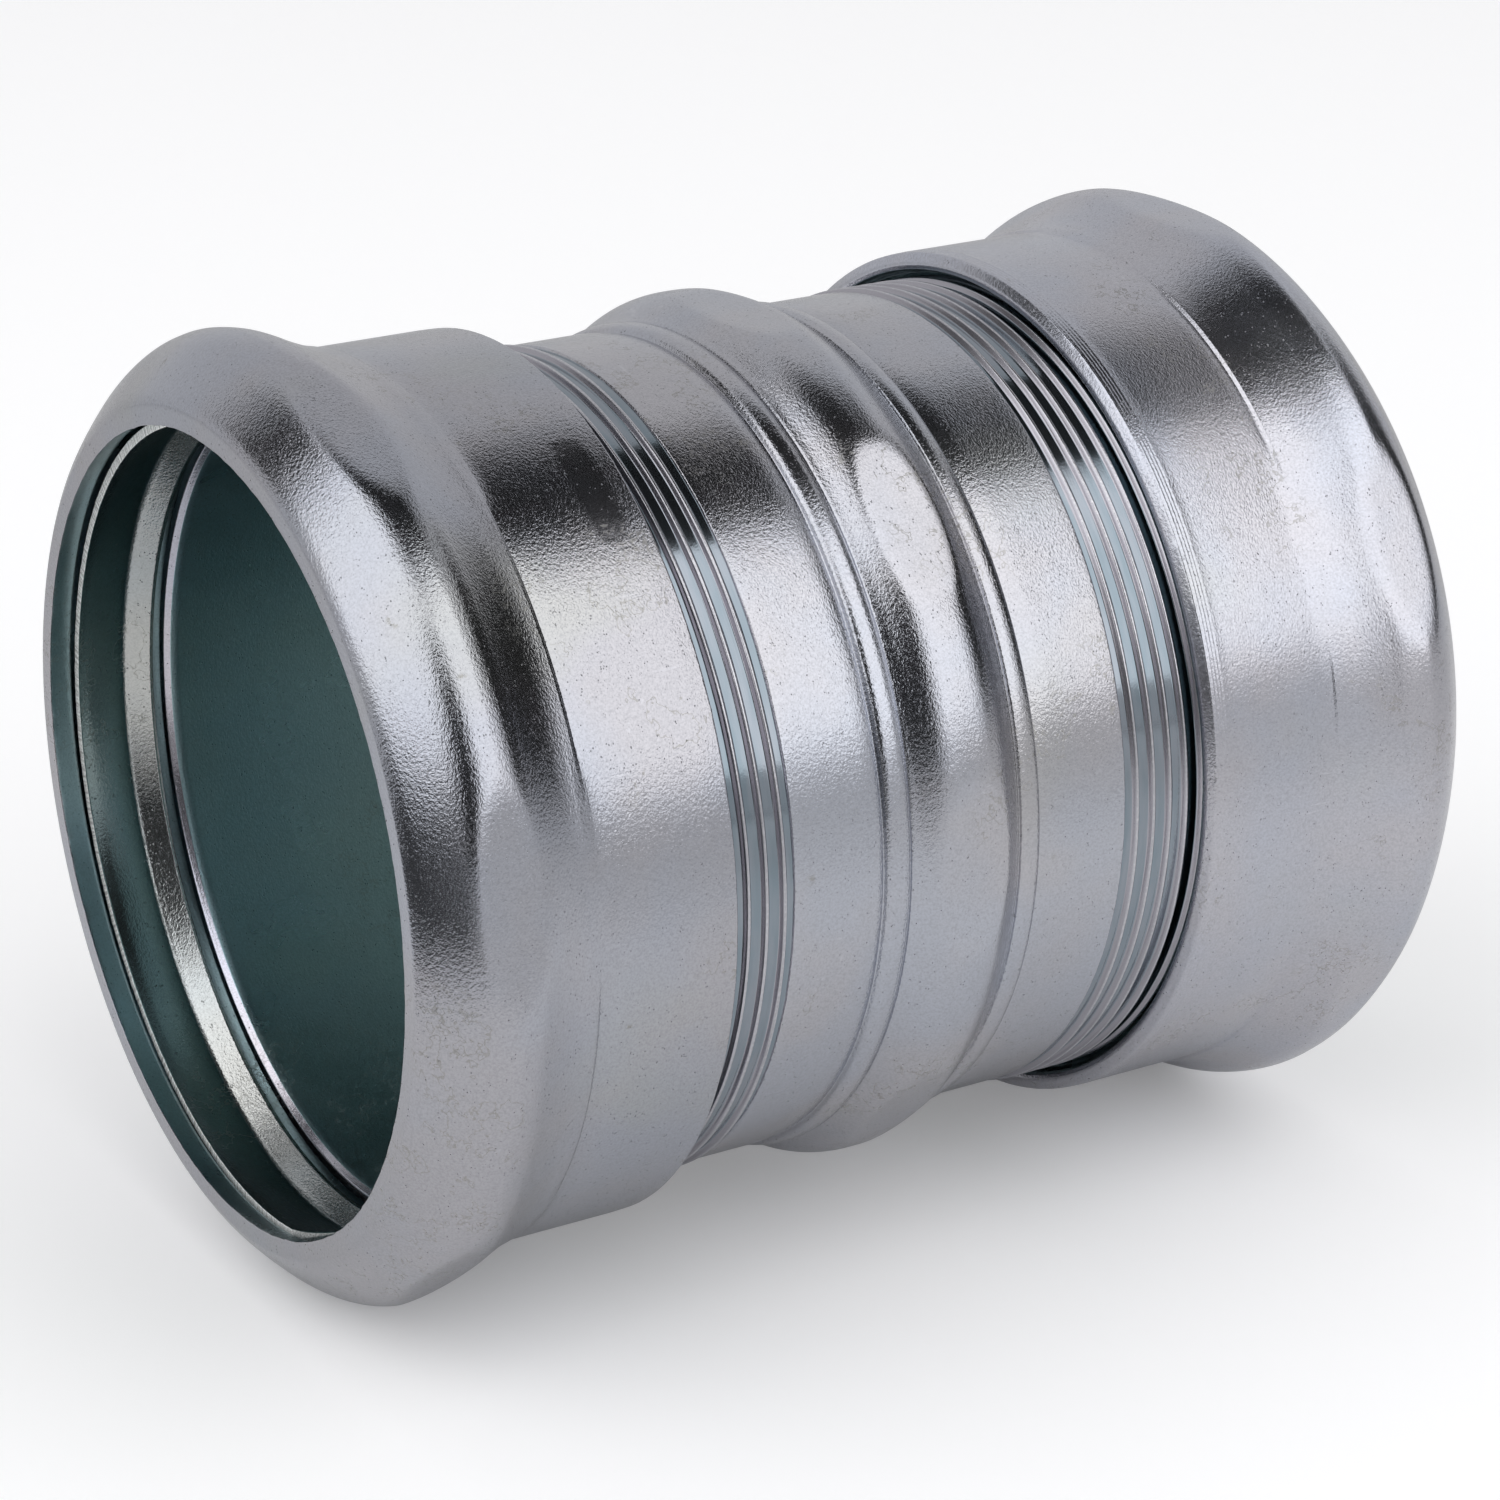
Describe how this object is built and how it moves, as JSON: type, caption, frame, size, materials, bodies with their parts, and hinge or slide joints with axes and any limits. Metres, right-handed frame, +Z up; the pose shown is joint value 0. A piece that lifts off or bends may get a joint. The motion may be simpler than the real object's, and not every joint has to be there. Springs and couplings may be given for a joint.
{
  "type": "conduit compression fitting",
  "caption": "Steel compression coupling for thin-wall conduit: threaded body with a faceted grip, and a hexagonal nut and a split gland ring at each end.",
  "frame": {"origin": "middle of the coupling body, on the common axis of the body and both nuts", "axes": "+X along the axis from nut A to nut B, +Z up with the fitting lying on its side"},
  "size_m": [0.1092, 0.0892, 0.0892],
  "materials": {
    "zinc_plated_body": "bright zinc plate over formed steel, smooth with fine draw marks",
    "zinc_plated_nut": "bright zinc plate over pressed steel, faint orange peel",
    "ring_steel": "zinc-plated spring steel strip with a bright sheared edge"
  },
  "bodies": {
    "coupling_body": {"coupling_body": "zinc_plated_body"},
    "gland_ring_a": {"gland_ring_a": "ring_steel"},
    "nut_a": {"nut_a": "zinc_plated_nut"},
    "gland_ring_b": {"gland_ring_b": "ring_steel"},
    "nut_b": {"nut_b": "zinc_plated_nut"}
  },
  "joints": [
    {"name": "ring_a_slide", "type": "slide", "parent": "coupling_body", "child": "gland_ring_a", "axis": [1, 0, 0], "range_m": [-0.01363, 0.00078]},
    {"name": "nut_a_turn", "type": "hinge", "parent": "gland_ring_a", "child": "nut_a", "pos_m": [-0.04, 0, 0], "axis": [1, 0, 0], "range_deg": [-2700, 150]},
    {"name": "ring_b_slide", "type": "slide", "parent": "coupling_body", "child": "gland_ring_b", "axis": [-1, 0, 0], "range_m": [-0.01363, 0.00078]},
    {"name": "nut_b_turn", "type": "hinge", "parent": "gland_ring_b", "child": "nut_b", "pos_m": [0.04, 0, 0], "axis": [-1, 0, 0], "range_deg": [-2700, 150]}
  ],
  "couplings": [
    {"joint": "ring_a_slide", "follows": "nut_a_turn", "m_per_rad": 0.00028875},
    {"joint": "ring_b_slide", "follows": "nut_b_turn", "m_per_rad": 0.00028875}
  ]
}
